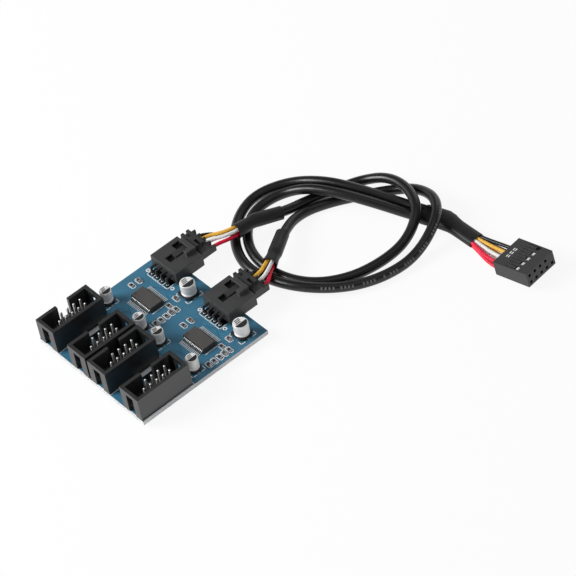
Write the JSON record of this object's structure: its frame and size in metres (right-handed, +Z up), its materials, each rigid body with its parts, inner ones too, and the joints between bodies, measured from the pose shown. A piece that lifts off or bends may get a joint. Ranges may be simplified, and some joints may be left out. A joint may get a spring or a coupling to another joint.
{
  "type": "header splitter hub board with lead",
  "caption": "Flat hub board with keyed box headers on one edge and latching input connectors on the other, joined by a looped twin cable to a two-row socket plug.",
  "frame": {"origin": "middle of the board with its input headers, in plan, on the plane that the pin tails stand on", "axes": "+X along the row of box headers, +Y from the box headers to the input connectors, +Z up out of the board"},
  "size_m": [0.0994, 0.1303, 0.0121],
  "materials": {
    "board": "glossy blue solder mask",
    "header_plastic": "moulded, fine matt",
    "tin": "tinned, satin",
    "chip_plastic": "moulded, satin",
    "can_aluminium": "drawn, bright satin",
    "can_base": "moulded, matt",
    "resistor": "glazed",
    "ceramic": "fired ceramic",
    "wire_black": "extruded, glossy",
    "wire_yellow": "extruded, glossy",
    "wire_white": "extruded, glossy",
    "wire_red": "extruded, glossy",
    "jacket": "extruded, glossy",
    "shrink": "shrunk, satin",
    "plug_plastic": "moulded, satin"
  },
  "bodies": {
    "root": {"circuit_board": "board", "box_header_shroud_1": "header_plastic", "box_header_pins_1": "tin", "box_header_shroud_2": "header_plastic", "box_header_pins_2": "tin", "box_header_shroud_3": "header_plastic", "box_header_pins_3": "tin", "box_header_shroud_4": "header_plastic", "box_header_pins_4": "tin", "input_header_a": "header_plastic", "input_header_pins_a": "tin", "input_plug_a": "plug_plastic", "input_plug_contacts_a": "tin", "hub_chip_a": "chip_plastic", "hub_chip_leads_a": "tin", "wire_a_black": "wire_black", "wire_a_yellow": "wire_yellow", "wire_a_white": "wire_white", "wire_a_red": "wire_red", "cable_a": "jacket", "heat_shrink_a": "shrink", "input_header_b": "header_plastic", "input_header_pins_b": "tin", "input_plug_b": "plug_plastic", "input_plug_contacts_b": "tin", "hub_chip_b": "chip_plastic", "hub_chip_leads_b": "tin", "wire_b_black": "wire_black", "wire_b_yellow": "wire_yellow", "wire_b_white": "wire_white", "wire_b_red": "wire_red", "cable_b": "jacket", "heat_shrink_b": "shrink", "capacitor_can_1": "can_aluminium", "capacitor_base_1": "can_base", "capacitor_can_2": "can_aluminium", "capacitor_base_2": "can_base", "capacitor_can_3": "can_aluminium", "capacitor_base_3": "can_base", "capacitor_can_4": "can_aluminium", "capacitor_base_4": "can_base", "capacitor_can_5": "can_aluminium", "capacitor_base_5": "can_base", "capacitor_can_6": "can_aluminium", "capacitor_base_6": "can_base", "capacitor_terminals": "tin", "chip_resistors": "resistor", "chip_capacitors": "ceramic", "chip_part_terminals": "tin", "joint_sleeve": "shrink", "host_plug": "plug_plastic", "host_plug_contacts": "tin"}
  },
  "joints": []
}
